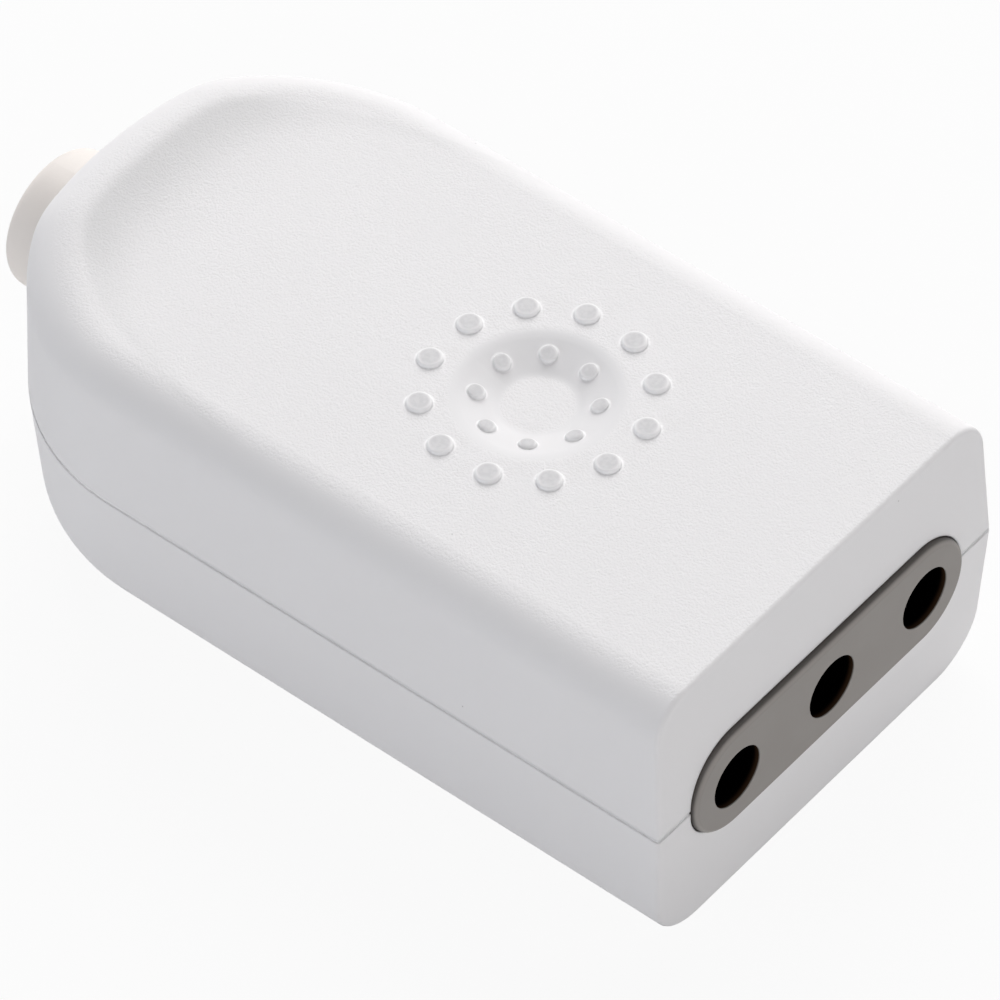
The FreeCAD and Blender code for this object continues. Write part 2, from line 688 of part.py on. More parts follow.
def make_socket_block():
    body = new_body("socket_block")
    steps = (
        ("Face", "-face_proud", f"{FLANGE_FRONT} + face_proud", "face_radius"),
        ("Flange", FLANGE_FRONT, "flange_thickness", "flange_radius"),
        ("Block", FLANGE_BACK, f"block_depth - {FLANGE_BACK}", "block_radius"),
    )
    for name, start, length, radius in steps:
        sketch = new_sketch(body, name, "XZ", y=start)
        draw_stadium(sketch, "pin_pitch", radius)
        pad(body, f"{name}Pad", sketch, length, reverse=True)
    bores = (
        ("PinHole", "-face_proud", "face_thickness", "pin_hole_radius"),
        ("Chamber", FACE_BACK, f"block_depth - {FACE_BACK}", "chamber_radius"),
        ("CollarSeat", "block_depth - collar_seat_depth", "collar_seat_depth", COLLAR_SEAT_RADIUS),
    )
    for name, start, length, radius in bores:
        sketch = new_sketch(body, name, "XZ", y=start)
        for x in ("-pin_pitch", "0", "pin_pitch"):
            draw_circle(sketch, x, "0", radius)
        pocket(body, f"{name}Cut", sketch, length)
    front, hole_size = -number("face_proud"), number("2 * pin_hole_radius")

    def face_edge(edge, first, second):
        box = edge.BoundBox
        return is_front(first) and box.YMax < front + TOUCH and box.DiagonalLength > 2 * hole_size

    round_edges(body, "FaceRounding", "face_rounding", face_edge)
    place(body)
    return body


def make_retaining_plate():
    """Plate with three slots, open below, that drops over the contacts' necks."""
    body = new_body("retaining_plate")
    plate = new_sketch(body, "Plate", "XZ", y="block_depth")
    draw_stadium(plate, "pin_pitch", "block_radius")
    pad(body, "PlatePad", plate, "plate_thickness", reverse=True)
    slots = new_sketch(body, "Slots", "XZ", y="block_depth")
    holes = new_sketch(body, "SlotEnds", "XZ", y="block_depth")
    half_slot = "(neck_radius + neck_clearance)"
    for x in ("-pin_pitch", "0", "pin_pitch"):
        draw_rectangle(slots, f"{x} - {half_slot}", f"{x} + {half_slot}", f"-block_radius - {MARGIN}", "0")
        draw_circle(holes, x, "0", half_slot)
    pocket(body, "SlotsCut", slots, "plate_thickness")
    pocket(body, "SlotEndsCut", holes, "plate_thickness")
    place(body)
    return body


# Contacts

def make_contact(label, x):
    """Turned sleeve, collar and neck with a square terminal behind."""
    body = new_body(label)
    collar_front = "(block_depth - collar_seat_depth)"
    collar_back = "(block_depth - seat_clearance)"
    section = new_sketch(body, "Section", "YZ")
    draw_polygon(section, [
        (SLEEVE_TIP, "sleeve_bore"),
        (SLEEVE_TIP, SLEEVE_RADIUS),
        (SPRING_START, SLEEVE_RADIUS),
        (SPRING_START, SPRING_SEAT_RADIUS),
        (f"{SPRING_START} + spring_width", SPRING_SEAT_RADIUS),
        (f"{SPRING_START} + spring_width", SLEEVE_RADIUS),
        (collar_front, SLEEVE_RADIUS),
        (collar_front, "collar_radius"),
        (collar_back, "collar_radius"),
        (collar_back, "neck_radius"),
        (TERMINAL_FRONT, "neck_radius"),
        (TERMINAL_FRONT, "0"),
        (collar_front, "0"),
        (collar_front, "sleeve_bore"),
    ])
    turn("Revolution", body, "Turning", section, "H_Axis")
    half_side = "terminal_side / 2"
    terminal = new_sketch(body, "Terminal", "XZ", y=TERMINAL_FRONT)
    draw_rectangle(terminal, f"-{half_side}", half_side, f"-{half_side}", half_side)
    pad(body, "TerminalPad", terminal, "terminal_length", reverse=True)
    wire_hole = new_sketch(body, "WireHole", "XZ", y=TERMINAL_BACK)
    draw_circle(wire_hole, "0", "0", "wire_hole_radius")
    pocket(body, "WireHoleCut", wire_hole, "wire_hole_depth", reverse=True)
    screw_hole = new_sketch(body, "ScrewHole", "XY", z=half_side)
    draw_circle(screw_hole, "0", TERMINAL_SCREW_Y, "terminal_screw_radius + thread_clearance")
    pocket(body, "ScrewHoleCut", screw_hole, half_side)
    for name, plane in (("UprightSlot", "XY"), ("LevelSlot", "YZ")):
        slot = new_sketch(body, name, plane)
        along = (f"{SLEEVE_TIP} - {MARGIN}", f"{SLEEVE_TIP} + slot_length")
        across = ("-slot_width / 2", "slot_width / 2")
        draw_rectangle(slot, *(across + along if plane == "XY" else along + across))
        cut_across(body, f"{name}Cut", slot)
    place(body, x)
    return body


def make_spring(label, x):
    """Open ring in the groove of a sleeve."""
    body = new_body(label)
    inner = f"({SPRING_SEAT_RADIUS} + spring_clearance)"
    ring = new_sketch(body, "Ring", "XZ", y=f"{SPRING_START} + spring_clearance")
    draw_circle(ring, "0", "0", inner)
    draw_circle(ring, "0", "0", f"{inner} + spring_thickness")
    pad(body, "RingPad", ring, "spring_width - 2 * spring_clearance", reverse=True)
    gap = new_sketch(body, "Gap", "XZ", y=SPRING_START)
    draw_rectangle(gap, "-spring_gap / 2", "spring_gap / 2", "0", f"{inner} + 2 * spring_thickness")
    pocket(body, "GapCut", gap, "spring_width")
    place(body, x)
    return body


# Screws

def make_screw(name, kind, x, y, seat, upwards):
    """A slotted screw: the head's underside is at seat, and the head points up or down."""
    def add(shape, part, sizes, base_x, base_y, base_z):
        piece = document.addObject(shape, f"{name}{part}")
        for size, text in sizes.items():
            piece.setExpression(size, formula(text))
        for axis, offset in zip("xyz", (base_x, base_y, base_z)):
            piece.setExpression(f"Placement.Base.{axis}", formula(offset))
        return piece

    radius, length = f"{kind}_screw_radius", f"{kind}_screw_length"
    head_radius, height = f"{kind}_head_radius", f"{kind}_head_height"
    shank_base = f"{seat} - {length}" if upwards else seat
    head_base = seat if upwards else f"{seat} - {height}"
    slot_base = f"{seat} + {height} - driver_slot_depth" if upwards else f"{head_base} - driver_slot_depth"
    slot_sizes = {
        "Length": f"4 * {head_radius}",
        "Width": "driver_slot_width",
        "Height": "2 * driver_slot_depth",
    }
    shank = add("Part::Cylinder", "Shank", {"Radius": radius, "Height": length}, x, y, shank_base)
    head = add("Part::Cylinder", "Head", {"Radius": head_radius, "Height": height}, x, y, head_base)
    slot = add("Part::Box", "Slot", slot_sizes,
               f"{x} - 2 * {head_radius}", f"{y} - driver_slot_width / 2", slot_base)
    blank = document.addObject("Part::Fuse", f"{name}Blank")
    blank.Base, blank.Tool = shank, head
    screw = document.addObject("Part::Cut", name)
    screw.Base, screw.Tool = blank, slot
    return screw


def make_screws(label, kind, places, seat, upwards=True):
    """A group of like screws, each a solid of its own."""
    group = document.addObject("Part::Compound", label)
    group.Label = label
    group.Links = [
        make_screw(f"{kind.capitalize()}Screw{index}", kind, x, y, seat, upwards)
        for index, (x, y) in enumerate(places, start=1)
    ]
    place(group)
    return group


# Cable clamp and bush

def make_clamp_bar():
    """Bar with round ends, a hole for each screw and a ridge that bites the lead."""
    body = new_body("clamp_bar")
    bar = new_sketch(body, "Bar", "XY", y=CLAMP_Y, z=CLAMP_SEAT)
    draw_stadium(bar, CLAMP_X, "clamp_bar_radius")
    pad(body, "BarPad", bar, "clamp_bar_thickness")
    ridge = new_sketch(body, "Ridge", "XY", y=CLAMP_Y, z=CLAMP_SEAT)
    draw_rectangle(ridge, "-cable_radius", "cable_radius", "-clamp_ridge_width / 2", "clamp_ridge_width / 2")
    pad(body, "RidgePad", ridge, "clamp_ridge_depth", reverse=True)
    holes = new_sketch(body, "Holes", "XY", y=CLAMP_Y, z=f"{CLAMP_SEAT} + clamp_bar_thickness")
    for x in (CLAMP_X, f"-{CLAMP_X}"):
        draw_circle(holes, x, "0", "clamp_screw_radius + case_hole_clearance")
    pocket(body, "HolesCut", holes, "clamp_bar_thickness")
    place(body)
    return body


def make_cable_bush():
    """Turned section with a flange behind the shells' wall and a tapered outer end."""
    body = new_body("cable_bush")
    section = new_sketch(body, "Section", "YZ", z="cable_height")
    draw_polygon(section, [
        (BUSH_FLANGE_FRONT, "cable_radius"),
        (BUSH_FLANGE_FRONT, "bush_flange_radius"),
        (BUSH_FLANGE_BACK, "bush_flange_radius"),
        (BUSH_FLANGE_BACK, "bush_base_radius"),
        (BUSH_END, "bush_tip_radius"),
        (BUSH_END, "cable_radius"),
    ])
    turn("Revolution", body, "Turning", section, "H_Axis")
    tip, end = number("bush_tip_radius"), number(BUSH_END)

    def end_edge(edge, first, second):
        return edge.BoundBox.YMin > end - TOUCH and edge.BoundBox.ZLength > 2 * tip - TOUCH

    round_edges(body, "EndRounding", "bush_rounding", end_edge)
    place(body)
    return body


def make_all():
    pieces = [make_upper_shell(), make_lower_shell(), make_socket_block(), make_retaining_plate()]
    for pole, x in (("line", "-pin_pitch"), ("earth", "0"), ("neutral", "pin_pitch")):
        pieces.append(make_contact(f"contact_{pole}", x))
        pieces.append(make_spring(f"spring_{pole}", x))
    terminals = [(x, TERMINAL_SCREW_Y) for x in ("-pin_pitch", "0", "pin_pitch")]
    pieces.append(make_screws("terminal_screws", "terminal", terminals, "terminal_side / 2"))
    clamps = [(x, CLAMP_Y) for x in (CLAMP_X, f"-{CLAMP_X}")]
    pieces.append(make_screws("clamp_screws", "clamp", clamps, f"{CLAMP_SEAT} + clamp_bar_thickness"))
    cases = [(x, CASE_SCREW_Y) for x in (CASE_SCREW_X, f"-{CASE_SCREW_X}")]
    pieces.append(make_screws("case_screws", "case", cases, f"-{CASE_HEAD_SEAT}", upwards=False))
    pieces.append(make_clamp_bar())
    pieces.append(make_cable_bush())
    document.recompute()
    return pieces


def check_document(pieces):
    failed = [item.Name for item in document.Objects if {"Invalid", "Error"} & set(item.State)]
    bad = [piece.Label for piece in pieces if piece.Shape.isNull() or not piece.Shape.isValid()]
    if failed or bad:
        raise ValueError(f"failed objects: {failed}; bad shapes: {bad}")


def write_parts(pieces):
    os.makedirs("parts", exist_ok=True)
    for piece in pieces:
        piece.Shape.exportStep(f"parts/{piece.Label}.step")
        print(f"{piece.Label}: {len(piece.Shape.Solids)} solid(s), {piece.Shape.Volume:.1f} mm3")


assembly = make_all()
check_document(assembly)
write_parts(assembly)
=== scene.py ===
import math

import bpy
from mathutils import Matrix, Vector

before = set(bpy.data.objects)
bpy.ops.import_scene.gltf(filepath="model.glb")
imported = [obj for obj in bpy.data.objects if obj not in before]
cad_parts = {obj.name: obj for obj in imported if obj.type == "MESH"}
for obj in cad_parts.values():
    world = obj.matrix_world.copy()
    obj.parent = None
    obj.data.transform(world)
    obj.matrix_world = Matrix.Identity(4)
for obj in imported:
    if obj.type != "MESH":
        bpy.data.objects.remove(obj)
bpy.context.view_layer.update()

# In-line power socket on a pale floor, seen from above its front left corner.
# Lengths are in metres. The frame is the part's own: X across the pin holes, Y from the
# front face to the cable bush, Z up, with the origin at the middle of the base.

MM = 0.001


def rgb(red, green, blue):
    return (red, green, blue, 1.0)


# Places on the part
FRONT_Y = -32.485 * MM
FACE_Y = FRONT_Y - 0.33 * MM
PARTING_Z = 11.2 * MM
GROOVE_HEIGHT = 0.3 * MM
PIN_PITCH = 9.5 * MM
PIN_HOLE_RADIUS = 2.25 * MM
LIP_FOOT_Y = FRONT_Y + 55.0 * MM
DISH_Y = FRONT_Y + 23.3 * MM
DISH_FLOOR_RADIUS = 2.55 * MM
DISH_RADIUS = 5.45 * MM
DOT_TURN = math.radians(15)
OUTER_RING = {"radius": 7.5 * MM, "dot": 0.85 * MM, "count": 12}
INNER_RING = {"radius": 3.95 * MM, "dot": 0.6 * MM, "count": 8}

# Colours. A pair is the two ends of an uneven colour.
SHELL_COLOURS = (rgb(0.82, 0.805, 0.812), rgb(0.85, 0.835, 0.842))
# Light colour of the painted highlight along edges
EDGE_HIGHLIGHT = rgb(0.95, 0.94, 0.945)
SPECK = rgb(0.30, 0.29, 0.28)
# Painted shade on the dish's slope and the dots' tops, and the painted highlight on the dots' rims
SLOPE_SHADE = rgb(0.70, 0.69, 0.70)
DOT_TOP_SHADE = rgb(0.63, 0.62, 0.63)
DOT_RIM_HIGHLIGHT = rgb(0.98, 0.97, 0.975)
# Painted shade at the foot of the lip
LIP_FOOT_SHADE = rgb(0.735, 0.725, 0.73)
# Painted shade in the groove between the shells, and the light colour that offsets its shade towards the
# back
GROOVE_SHADE = rgb(0.78, 0.78, 0.79)
GROOVE_LIGHTENED = rgb(0.98, 0.97, 0.975)
BLOCK_COLOURS = (rgb(0.246, 0.226, 0.21), rgb(0.266, 0.246, 0.23))
# Painted highlight line and painted shade on the grey face's edge
FACE_HIGHLIGHT_LINE = rgb(0.40, 0.37, 0.34)
FACE_SIDE_SHADE = rgb(0.045, 0.038, 0.034)
# Painted shade inside the pin holes: dark brown at the rim, black deeper in
HOLE_RIM_SHADE = rgb(0.045, 0.024, 0.013)
HOLE_DEPTH_SHADE = rgb(0.0004, 0.0003, 0.0003)
BUSH_COLOURS = (rgb(0.83, 0.775, 0.735), rgb(0.87, 0.82, 0.78))
BRASS_COLOURS = (rgb(0.70, 0.50, 0.22), rgb(0.82, 0.61, 0.29))
STEEL_COLOURS = (rgb(0.55, 0.56, 0.57), rgb(0.65, 0.66, 0.67))
FLOOR_COLOUR = rgb(0.75, 0.75, 0.75)
WHITE = rgb(1, 1, 1)

# Finishes. A cloud is the size of the patches in an uneven colour and gloss.
CLOUD_RANGE = (0.3, 0.7)
CLOUD_DETAIL = 3.0
GRAIN_DETAIL = 2.0
SMOOTH_GRAIN_DEPTH = 0.008 * MM
SOFT_EDGE_SAMPLES = 6
SATIN_SPECULAR = 0.4
SHELL_CLOUD = 14 * MM
SHELL_ROUGHNESS = (0.58, 0.64)
BLOCK_CLOUD = 3 * MM
BLOCK_ROUGHNESS = (0.5, 0.58)
BLOCK_SPECULAR = 0.5
BLOCK_GRAIN = 0.2 * MM
BLOCK_SOFTNESS = 0.06 * MM
BUSH_CLOUD = 6 * MM
BUSH_ROUGHNESS = (0.56, 0.62)
BUSH_GRAIN = 0.3 * MM
BUSH_SOFTNESS = 0.1 * MM
METAL_CLOUD = 2 * MM
METAL_CLOUD_RANGE = (0.2, 0.8)
METAL_CLOUD_DETAIL = 4.0
METAL_GRAIN = 0.12 * MM
METAL_GRAIN_DETAIL = 1.0
METAL_GRAIN_DEPTH = 0.004 * MM
BRASS_ROUGHNESS = (0.28, 0.43)
STEEL_ROUGHNESS = (0.3, 0.45)

# Grain of the shells: size, detail and share of each layer, and the slope at which it fades
GRAIN_LAYERS = ((0.16 * MM, 3.0, 0.75), (0.5 * MM, 2.0, 0.25))
GRAIN_MIDDLE = 0.5
GRAIN_DEPTH = 0.065 * MM
GRAIN_SLOPES = (0.86, 0.99)
SIDE_GRAIN = 0.1
POLISHED_GRAIN = 0.08

# Edges, with a painted highlight, and the groove between the shells, with painted shade
EDGE_SOFTNESS = 0.25 * MM
EDGE_BEND = (0.85, 0.985)
EDGE_HIGHLIGHT_STRENGTH = 0.9
GROOVE_EDGE_REACH = 0.3 * MM
GROOVE_EDGE_HIGHLIGHT = 0.4
GROOVE_BLUR = 0.05 * MM
GROOVE_LIGHTENING = (3 * MM, 16 * MM)

# Dish and dots: distances from the dish's axis, then from a dot's middle in dot radii, and the shares of
# the painted shade on the slope and tops and of the painted highlight on the rims
SLOPE_INNER = (DISH_FLOOR_RADIUS - 0.4 * MM, DISH_FLOOR_RADIUS + 0.1 * MM)
SLOPE_OUTER = (DISH_RADIUS - 0.1 * MM, DISH_RADIUS + 0.5 * MM)
SLOPE_SHADE_SHARE = 0.3
DOT_OUTER = (1.0, 1.15)
TOP_OUTER = (0.6, 0.95)
TOP_LIFT = 1.4
RIM_INNER = (0.75, 0.97)
RIM_OUTER = (1.08, 1.25)
RIM_HIGHLIGHT_SHARE = 0.7
MOTTLE_SIZE = 0.35 * MM
MOTTLE_RANGE = (0.35, 0.65)
MOTTLE_SHARES = (0.75, 1.0)

# Painted shade at the foot of the lip, which bends forward to the sides
LIP_BEND = 1.5 * MM
LIP_BEND_X = 8 * MM
LIP_BEND_POWER = 4.0
LIP_BEHIND = (LIP_FOOT_Y + 0.3 * MM, LIP_FOOT_Y + 1.5 * MM)
LIP_AHEAD = (LIP_FOOT_Y - 4.0 * MM, LIP_FOOT_Y)
LIP_ASIDE = (7 * MM, 11 * MM)
LIP_ASIDE_SHADE = 0.3
LIP_SLOPES = (0.8, 0.95)

# Specks of dust: those cells that have one, and its size in cells
SPECK_SPACING = 4 * MM
SPECK_CHOICE = (0.55, 0.6)
SPECK_RADIUS = (0.008, 0.02)
SPECK_STRENGTH = 0.55

# Grey face, by depth behind its front: a painted highlight line on the rounded edge, painted shade on
# the side, painted shade in the pin holes
LINE_FRONT = (0.005 * MM, 0.04 * MM)
LINE_BACK = (0.06 * MM, 0.14 * MM)
LINE_HIGHLIGHT_STRENGTH = 0.15
SIDE_FRONT = (0.1 * MM, 0.3 * MM)
SIDE_SHADE_STRENGTH = 0.9
HOLE_OUTER = (PIN_HOLE_RADIUS + 0.05 * MM, PIN_HOLE_RADIUS + 0.1 * MM)
HOLE_RIM_FRONT = (0.02 * MM, 0.12 * MM)
HOLE_DEEP_FRONT = (0.05 * MM, 0.55 * MM)

# Camera
CAMERA_TURN = math.radians(-49.110)
CAMERA_HEIGHT = math.radians(47.505)
CAMERA_ROLL = math.radians(-1.567)
CAMERA_DISTANCE = 486.99 * MM
CAMERA_AIM = Vector((0, -4.485 * MM, PARTING_Z))
CAMERA_SIDESTEP = -1.025 * MM
CAMERA_RISE = 1.414 * MM
CAMERA_FAR_END = 10
SENSOR = 36
LENS = 273.19

# Light. A lamp's turn goes from +X towards +Y and its height from level, both in degrees.
SKY = 0.13
BACKGROUND = 1.0
FLOOR_SIZE = 3.0
FLOOR_DROP = 0.02 * MM
FLOOR_SHADOW_SHARE = 0.08
LAMP_AIM = Vector((0, 0, PARTING_Z))
LAMP_DISTANCE = 0.9
LAMPS = {
    "key": {"turn": 33, "height": 39, "size": 0.9, "power": 9.0, "colour": (1, 1, 1)},
    "right": {"turn": 0, "height": 20, "size": 0.45, "power": 0.25, "colour": (1, 1, 1)},
    "front": {"turn": -70, "height": 12, "size": 0.45, "power": 1.55, "colour": (1, 1, 1)},
    "left": {"turn": 150, "height": 8, "size": 0.45, "power": 2.1, "colour": (0.9, 0.94, 1.0)},
    "fill": {"turn": 220, "height": 32, "size": 0.45, "power": 2.2, "colour": (0.98, 0.985, 1.0)},
}


# Node helpers

class Nodes:
    """The node tree of a material or world, with short names for what is used here."""

    def __init__(self, owner, output):
        owner.use_nodes = True
        self.owner = owner
        self.tree = owner.node_tree
        self.tree.nodes.clear()
        self.output = self.add(output)

    def add(self, kind, **settings):
        node = self.tree.nodes.new(f"ShaderNode{kind}")
        for name, value in settings.items():
            setattr(node, name, value)
        return node

    def feed(self, socket, value):
        """Link a socket to another node's output, or set it to a plain value."""
        if isinstance(value, bpy.types.NodeSocket):
            self.tree.links.new(value, socket)
        else:
            socket.default_value = value

    def fill(self, node, *values):
        """Feed a node's first sockets in order."""
        for socket, value in zip(node.inputs, values):
            self.feed(socket, value)
        return node

    def math(self, operation, *values):
        return self.fill(self.add("Math", operation=operation), *values).outputs[0]

    def vector(self, operation, *values):
        return self.fill(self.add("VectorMath", operation=operation), *values).outputs

    def times(self, product, *others):
        for other in others:
            product = self.math("MULTIPLY", product, other)
        return product

    def length(self, *sides):
        """The long side of a right-angled triangle."""
        squares = [self.math("POWER", side, 2.0) for side in sides]
        return self.math("SQRT", self.math("ADD", *squares))

    def ramp(self, value, low, high, start=0.0, end=1.0):
        """A smooth step from start to end while value goes from low to high."""
        node = self.add("MapRange", interpolation_type="SMOOTHSTEP")
        return self.fill(node, value, low, high, start, end).outputs[0]

    def fall(self, value, low, high):
        return self.ramp(value, low, high, 1.0, 0.0)

    def mix(self, share, first, second):
        """A colour between two others. The Mix node keeps its colours in sockets 6, 7 and 2."""
        node = self.add("Mix", data_type="RGBA")
        self.feed(node.inputs["Factor"], share)
        self.feed(node.inputs[6], first)
        self.feed(node.inputs[7], second)
        return node.outputs[2]

    def noise(self, size, detail):
        """Noise with features about as large as size."""
        node = self.add("TexNoise")
        self.feed(node.inputs["Vector"], self.place())
        self.feed(node.inputs["Scale"], 1 / size)
        self.feed(node.inputs["Detail"], detail)
        return node.outputs["Fac"]

    def place(self):
        return self.add("TexCoord").outputs["Object"]

    def split(self, vector):
        return self.fill(self.add("SeparateXYZ"), vector).outputs

    def normal(self):
        return self.add("NewGeometry").outputs["Normal"]

    def bump(self, height, depth, normal=None):
        """A bump whose full height is depth."""
        node = self.add("Bump")
        self.feed(node.inputs["Height"], height)
        self.feed(node.inputs["Distance"], depth)
        if normal:
            self.feed(node.inputs["Normal"], normal)
        return node.outputs["Normal"]

    def soft_edges(self, radius):
        node = self.add("Bevel", samples=SOFT_EDGE_SAMPLES)
        self.feed(node.inputs["Radius"], radius)
        return node.outputs["Normal"]

    def shader(self, **values):
        node = self.add("BsdfPrincipled")
        for name, value in values.items():
            self.feed(node.inputs[name.replace("_", " ")], value)
        self.show(node)

    def show(self, node):
        self.feed(self.output.inputs["Surface"], node.outputs[0])


def material_nodes(name):
    return Nodes(bpy.data.materials.new(name), "OutputMaterial")


# Materials. A share is a number from 0 to 1 that says where something shows.

def ring_distance(nodes, x, y, ring):
    """Distance from the middle of the nearest dot of a ring, in dot radii."""
    step = 2 * math.pi / ring["count"]
    angle = nodes.math("ADD", nodes.math("ARCTAN2", x, y), step / 2 - DOT_TURN)
    turn = nodes.math("SUBTRACT", nodes.math("FLOORED_MODULO", angle, step), step / 2)
    reach = nodes.length(x, y)
    along = nodes.math("SUBTRACT", nodes.times(reach, nodes.math("COSINE", turn)), ring["radius"])
    across = nodes.times(reach, nodes.math("SINE", turn))
    return nodes.math("DIVIDE", nodes.length(along, across), ring["dot"])


def grip_shares(nodes):
    """The dish's slope, the dots, and the dots' tops and rims alone."""
    x, y = nodes.split(nodes.place())[:2]
    y = nodes.math("SUBTRACT", y, DISH_Y)
    reach = nodes.length(x, y)
    slope = nodes.times(nodes.ramp(reach, *SLOPE_INNER), nodes.fall(reach, *SLOPE_OUTER))
    rings = [ring_distance(nodes, x, y, ring) for ring in (OUTER_RING, INNER_RING)]
    nearest = nodes.math("MINIMUM", *rings)
    dots = nodes.fall(nearest, *DOT_OUTER)
    tops = nodes.fall(nearest, *TOP_OUTER)
    rims = nodes.times(nodes.ramp(nearest, *RIM_INNER), nodes.fall(nearest, *RIM_OUTER))
    return slope, dots, tops, rims


def edge_highlight_share(nodes, soft):
    """Edges with a painted highlight: where the softened normal leaves the true one."""
    agreement = nodes.vector("DOT_PRODUCT", soft, nodes.normal())["Value"]
    return nodes.ramp(agreement, *EDGE_BEND, EDGE_HIGHLIGHT_STRENGTH, 0.0)


def groove_share(nodes, reach):
    """The groove between the shells, and what is within reach of it."""
    z = nodes.split(nodes.place())[2]
    height = nodes.math("ABSOLUTE", nodes.math("SUBTRACT", z, PARTING_Z + GROOVE_HEIGHT / 2))
    end = GROOVE_HEIGHT / 2 + reach
    return nodes.fall(height, end, end + GROOVE_BLUR)


def groove_shade_colour(nodes):
    """Painted shade in the groove, which gives way towards the back to a light colour that offsets the
    groove's own shade.
    """
    y = nodes.split(nodes.place())[1]
    return nodes.mix(nodes.ramp(y, *GROOVE_LIGHTENING), GROOVE_SHADE, GROOVE_LIGHTENED)


def lip_foot_shade_share(nodes):
    """Painted shade at the foot of the lip, fading out along the cove and to the sides."""
    x, y = nodes.split(nodes.place())[:2]
    bend = nodes.math("POWER", nodes.math("DIVIDE", x, LIP_BEND_X), LIP_BEND_POWER)
    y = nodes.math("ADD", y, nodes.times(bend, LIP_BEND))
    aside = nodes.ramp(nodes.math("ABSOLUTE", x), *LIP_ASIDE, 1.0, LIP_ASIDE_SHADE)
    return nodes.times(nodes.fall(y, *LIP_BEHIND), nodes.ramp(y, *LIP_AHEAD), aside)


def speck_share(nodes):
    """A few small dark specks of dust."""
    cells = nodes.add("TexVoronoi")
    nodes.feed(cells.inputs["Vector"], nodes.place())
    nodes.feed(cells.inputs["Scale"], 1 / SPECK_SPACING)
    chosen = nodes.ramp(nodes.split(cells.outputs["Color"])[0], *SPECK_CHOICE)
    return nodes.times(chosen, nodes.ramp(cells.outputs["Distance"], *SPECK_RADIUS, SPECK_STRENGTH, 0.0))


def lifted(nodes, normal, share):
    """A normal turned upwards by share, as on a low, flattened form."""
    lift = nodes.add("CombineXYZ")
    nodes.feed(lift.inputs["Z"], share)
    total = nodes.vector("ADD", normal, lift.outputs[0])["Vector"]
    return nodes.vector("NORMALIZE", total)["Vector"]


def moulded_grain(nodes):
    """Fine uneven grain about the middle level."""
    layers = [nodes.times(nodes.noise(size, detail), share) for size, detail, share in GRAIN_LAYERS]
    return nodes.math("SUBTRACT", nodes.math("ADD", *layers), GRAIN_MIDDLE)


def smooth_surface(nodes, grain, softness):
    """A normal with a very fine grain and slightly soft edges."""
    return nodes.bump(nodes.noise(grain, GRAIN_DETAIL), SMOOTH_GRAIN_DEPTH, nodes.soft_edges(softness))


def dress_grip(nodes, colour, slope, tops, rims):
    """The grip's colours: painted shade on the slope and, in a random mottle, on the dots' tops, and a
    painted highlight on the dots' rims.
    """
    colour = nodes.mix(nodes.times(slope, SLOPE_SHADE_SHARE), colour, SLOPE_SHADE)
    # A random mottle in how strongly the painted shade shows on the dots' tops
    shade_mottle = nodes.ramp(nodes.noise(MOTTLE_SIZE, GRAIN_DETAIL), *MOTTLE_RANGE, *MOTTLE_SHARES)
    colour = nodes.mix(nodes.times(tops, shade_mottle), colour, DOT_TOP_SHADE)
    return nodes.mix(nodes.times(rims, RIM_HIGHLIGHT_SHARE), colour, DOT_RIM_HIGHLIGHT)


def shell_plastic(name, is_upper):
    """White moulded plastic: grain on the broad face, smoother sides, dust specks and a painted
    highlight on edges; on the upper shell also painted shade and highlight on the grip, and painted
    shade at the lip's foot and in the groove.
    """
    nodes = material_nodes(name)
    soft = nodes.soft_edges(EDGE_SOFTNESS)
    # Painted highlight along edges, fainter near the groove
    near_groove = nodes.ramp(groove_share(nodes, GROOVE_EDGE_REACH), 0.0, 1.0, 1.0, GROOVE_EDGE_HIGHLIGHT)
    edge = nodes.times(edge_highlight_share(nodes, soft), near_groove)
    cloud = nodes.noise(SHELL_CLOUD, CLOUD_DETAIL)
    colour = nodes.mix(cloud, *SHELL_COLOURS)
    up = nodes.split(nodes.normal())[2]
    steep, level = GRAIN_SLOPES
    if is_upper:
        slope, dots, tops, rims = grip_shares(nodes)
        polished = nodes.ramp(nodes.math("MAXIMUM", slope, dots), 0.0, 1.0, 1.0, POLISHED_GRAIN)
        grain = nodes.times(nodes.ramp(up, steep, level, SIDE_GRAIN, 1.0), polished)
        edge = nodes.times(edge, nodes.math("SUBTRACT", 1.0, dots))
        colour = dress_grip(nodes, colour, slope, tops, rims)
        # Painted shade in the crease at the foot of the lip, on faces that look up
        lip_foot_shade = nodes.times(lip_foot_shade_share(nodes), nodes.ramp(up, *LIP_SLOPES))
        colour = nodes.mix(lip_foot_shade, colour, LIP_FOOT_SHADE)
        # Painted shade in the groove between the shells, lightened towards the back
        colour = nodes.mix(groove_share(nodes, 0.0), colour, groove_shade_colour(nodes))
        soft = lifted(nodes, soft, nodes.times(tops, TOP_LIFT))
    else:
        grain = nodes.ramp(up, -level, -steep, 1.0, SIDE_GRAIN)
    # Painted highlight on the edges
    colour = nodes.mix(edge, colour, EDGE_HIGHLIGHT)
    colour = nodes.mix(speck_share(nodes), colour, SPECK)
    nodes.shader(
        Base_Color=colour,
        Roughness=nodes.ramp(cloud, *CLOUD_RANGE, *SHELL_ROUGHNESS),
        Specular_IOR_Level=SATIN_SPECULAR,
        Normal=nodes.bump(nodes.times(moulded_grain(nodes), grain), GRAIN_DEPTH, soft),
    )
    return nodes.owner


